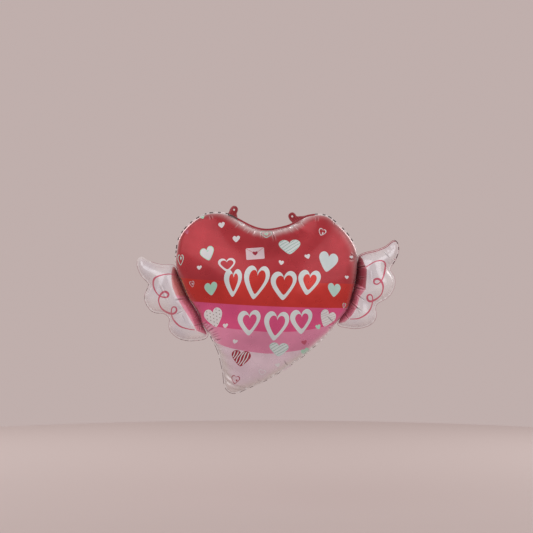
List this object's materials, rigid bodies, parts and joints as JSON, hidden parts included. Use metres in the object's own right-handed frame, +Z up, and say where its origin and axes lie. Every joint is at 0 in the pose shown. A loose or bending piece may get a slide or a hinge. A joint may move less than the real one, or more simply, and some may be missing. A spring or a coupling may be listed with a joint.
{
  "type": "heart-shaped foil balloon",
  "caption": "Inflated foil balloon: a heart with its tip swung to one side, a feathered wing on each side, hanging tabs at the notch and a self-sealing filler neck.",
  "frame": {"origin": "midway between the centres of the two hanging eyelets, in the seam plane", "axes": "+X to the right seen from the printed front, +Z up, the printed front faces -Y"},
  "size_m": [0.845, 0.24, 0.6056],
  "materials": {
    "heart_foil": "printed metallised film, glossy",
    "wing_foil": "pearl metallised film, glossy",
    "tab_foil": "printed metallised film, glossy",
    "neck_foil": "silver metallised film, glossy",
    "valve_film": "thin clear plastic film"
  },
  "bodies": {
    "heart": {"heart_front_film": "heart_foil", "heart_back_film": "heart_foil", "valve_front_film": "valve_film", "valve_back_film": "valve_film"},
    "left_wing": {"left_wing_front_film": "wing_foil", "left_wing_back_film": "wing_foil"},
    "right_wing": {"right_wing_front_film": "wing_foil", "right_wing_back_film": "wing_foil"},
    "left_hang_tab": {"left_hang_tab_front_film": "tab_foil", "left_hang_tab_back_film": "tab_foil"},
    "right_hang_tab": {"right_hang_tab_front_film": "tab_foil", "right_hang_tab_back_film": "tab_foil"},
    "filler_neck": {"neck_front_film": "neck_foil", "neck_back_film": "neck_foil", "neck_valve_front_film": "valve_film", "neck_valve_back_film": "valve_film"}
  },
  "joints": [
    {"name": "left_wing_flap", "type": "hinge", "parent": "heart", "child": "left_wing", "pos_m": [-0.2314, 0, -0.2796], "axis": [-0.4312, 0, 0.9023], "range_deg": [-12, 12], "stiffness_Nm_per_rad": 0.05},
    {"name": "right_wing_flap", "type": "hinge", "parent": "heart", "child": "right_wing", "pos_m": [0.277, 0, -0.2485], "axis": [0.2897, 0, 0.9571], "range_deg": [-12, 12], "stiffness_Nm_per_rad": 0.05},
    {"name": "left_tab_fold", "type": "hinge", "parent": "heart", "child": "left_hang_tab", "pos_m": [-0.09765, 0, -0.00567], "axis": [0.9094, 0, -0.416], "range_deg": [-75, 75], "stiffness_Nm_per_rad": 0.002},
    {"name": "right_tab_fold", "type": "hinge", "parent": "heart", "child": "right_hang_tab", "pos_m": [0.10865, 0, -0.02024], "axis": [0.8404, 0, 0.5419], "range_deg": [-75, 75], "stiffness_Nm_per_rad": 0.002},
    {"name": "neck_unfold", "type": "hinge", "parent": "heart", "child": "filler_neck", "pos_m": [0.07842, 0, -0.50067], "axis": [-0.8354, 0, -0.5497], "range_deg": [0, 105], "stiffness_Nm_per_rad": 0.002}
  ]
}
